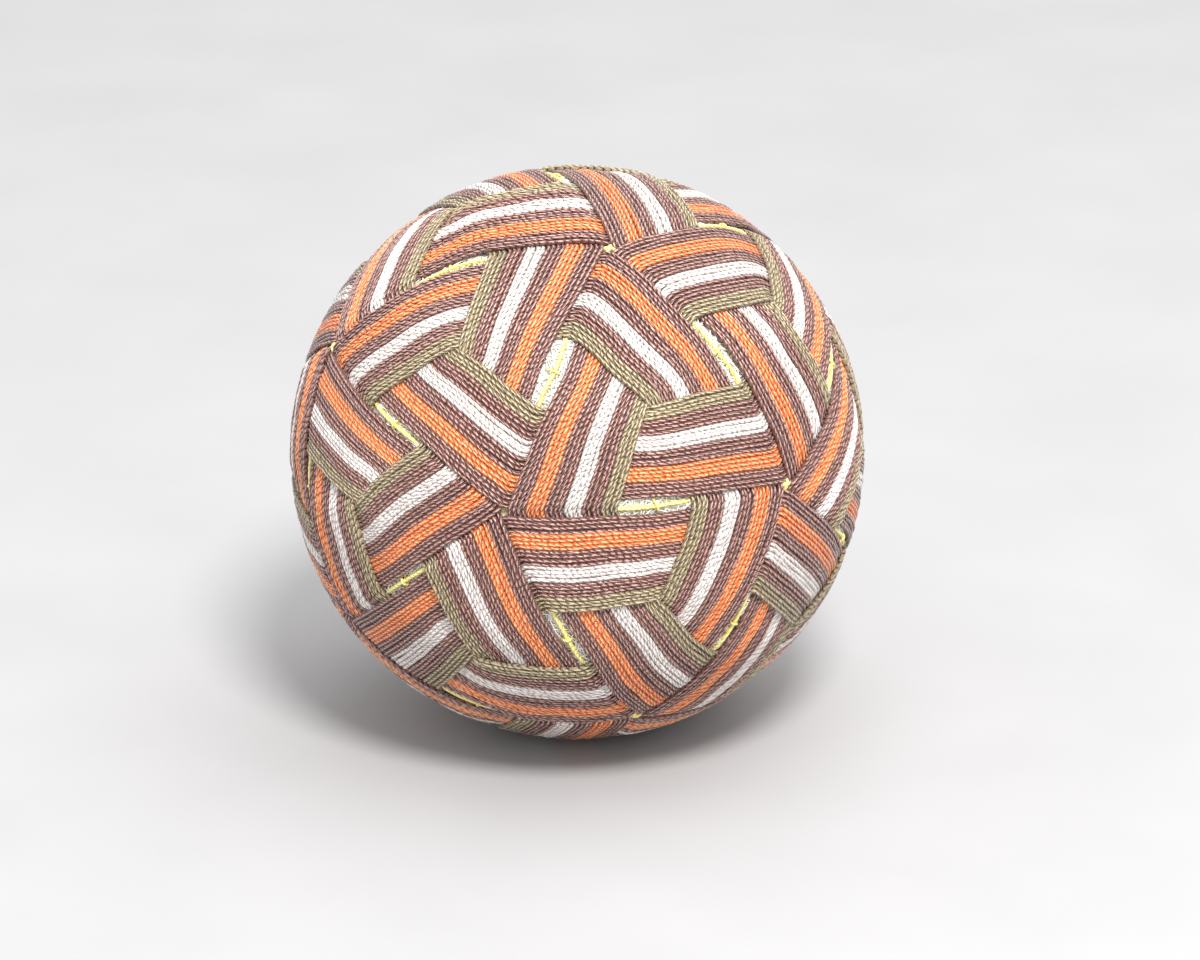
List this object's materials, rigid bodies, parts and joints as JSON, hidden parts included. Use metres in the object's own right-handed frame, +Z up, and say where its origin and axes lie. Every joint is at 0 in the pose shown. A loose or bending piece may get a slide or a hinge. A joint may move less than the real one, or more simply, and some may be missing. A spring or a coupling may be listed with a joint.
{
  "type": "temari ball",
  "caption": "Thread-wound ball covered by interwoven five-sided bands of striped embroidery thread, with a small flat spot it rests on.",
  "frame": {"origin": "on the floor, under the middle of the ball's box, in the plane of its flat spot", "axes": "+Z up through the ball from its flat spot; the side the maker shows faces -Y"},
  "size_m": [0.08, 0.0798, 0.079],
  "materials": {
    "mari_thread": "matt white sewing thread, wound at random",
    "band_thread": "lustrous two-ply embroidery thread in stripes of brown, orange, white and olive"
  },
  "bodies": {
    "root": {"mari": "mari_thread", "band_01": "band_thread", "band_02": "band_thread", "band_03": "band_thread", "band_04": "band_thread", "band_05": "band_thread", "band_06": "band_thread", "band_07": "band_thread", "band_08": "band_thread", "band_09": "band_thread", "band_10": "band_thread", "band_11": "band_thread", "band_12": "band_thread"}
  },
  "joints": []
}
